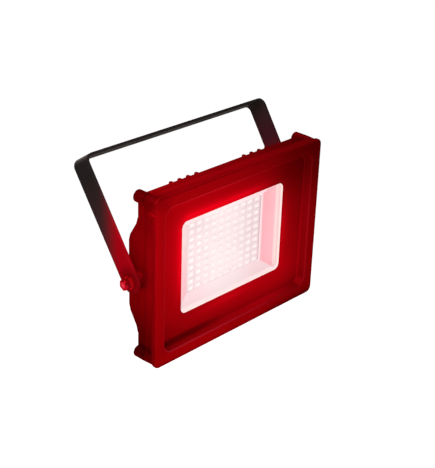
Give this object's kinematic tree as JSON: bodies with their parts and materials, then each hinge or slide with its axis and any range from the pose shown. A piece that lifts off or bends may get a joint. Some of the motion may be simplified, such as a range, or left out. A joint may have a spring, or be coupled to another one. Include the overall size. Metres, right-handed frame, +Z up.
{
  "type": "darkroom safelight floodlight",
  "caption": "Slim red LED floodlight used as a safelight, with a stepped front ring, finned back and a tilting U-shaped strap bracket.",
  "frame": {"origin": "centre of the outer face of the bracket's crossbar, where the lamp is fastened", "axes": "+X along the crossbar, +Y away from the lit face, +Z up with the lamp's face upright; the bracket leans back 34 degrees at rest"},
  "size_m": [0.2534, 0.104, 0.1909],
  "materials": {
    "cast_red": "fine-textured paint on die-cast aluminium, satin",
    "bracket_black": "fine-textured black powder coat on steel strap",
    "steel": "bright machined steel, light brushing",
    "zinc": "bright zinc plating",
    "clear_glass": "clear tempered glass",
    "black_rubber": "matt silicone rubber",
    "grey_fibre": "matt fibre",
    "reflector_white": "smooth white, faintly glossy",
    "board_white": "white solder mask with raised LED packages",
    "pad_grey": "matt grey thermal pad",
    "pcb_green": "green solder mask",
    "ferrite": "matt dark ferrite and tape",
    "can_blue": "dark blue capacitor sleeve",
    "terminal_green": "moulded green plastic",
    "wire_red": "red wire insulation",
    "wire_black": "black wire insulation",
    "nylon_black": "moulded black nylon",
    "brass": "bare brass"
  },
  "bodies": {
    "bracket": {"bracket": "bracket_black"},
    "lamp": {"board_screw_1": "steel", "board_screw_2": "steel", "board_screw_3": "steel", "board_screw_4": "steel", "capacitor_input": "can_blue", "capacitor_output": "can_blue", "cover_gasket": "black_rubber", "cover_screw_1": "steel", "cover_screw_2": "steel", "cover_screw_3": "steel", "cover_screw_4": "steel", "driver_board": "pcb_green", "driver_cover": "cast_red", "earth_lug": "brass", "earth_screw": "brass", "flat_washer_left": "zinc", "flat_washer_right": "zinc", "frame_gasket": "black_rubber", "frame_screw_1": "steel", "frame_screw_2": "steel", "frame_screw_3": "steel", "frame_screw_4": "steel", "friction_washer_left": "grey_fibre", "friction_washer_right": "grey_fibre", "front_frame": "cast_red", "front_glass": "clear_glass", "gland_body": "nylon_black", "gland_locknut": "nylon_black", "gland_nut": "nylon_black", "gland_seal": "black_rubber", "glass_gasket": "black_rubber", "led_board": "board_white", "led_lead_black": "wire_black", "led_lead_red": "wire_red", "pivot_bolt_left": "zinc", "pivot_bolt_right": "zinc", "rear_housing": "cast_red", "reflector": "reflector_white", "spring_washer_left": "zinc", "spring_washer_right": "zinc", "terminal_block": "terminal_green", "thermal_pad": "pad_grey", "transformer": "ferrite"}
  },
  "joints": [
    {"name": "lamp_tilt", "type": "hinge", "parent": "bracket", "child": "lamp", "pos_m": [0, -0.06794, -0.10073], "axis": [1, 0, 0], "range_deg": [-124, 146]}
  ]
}
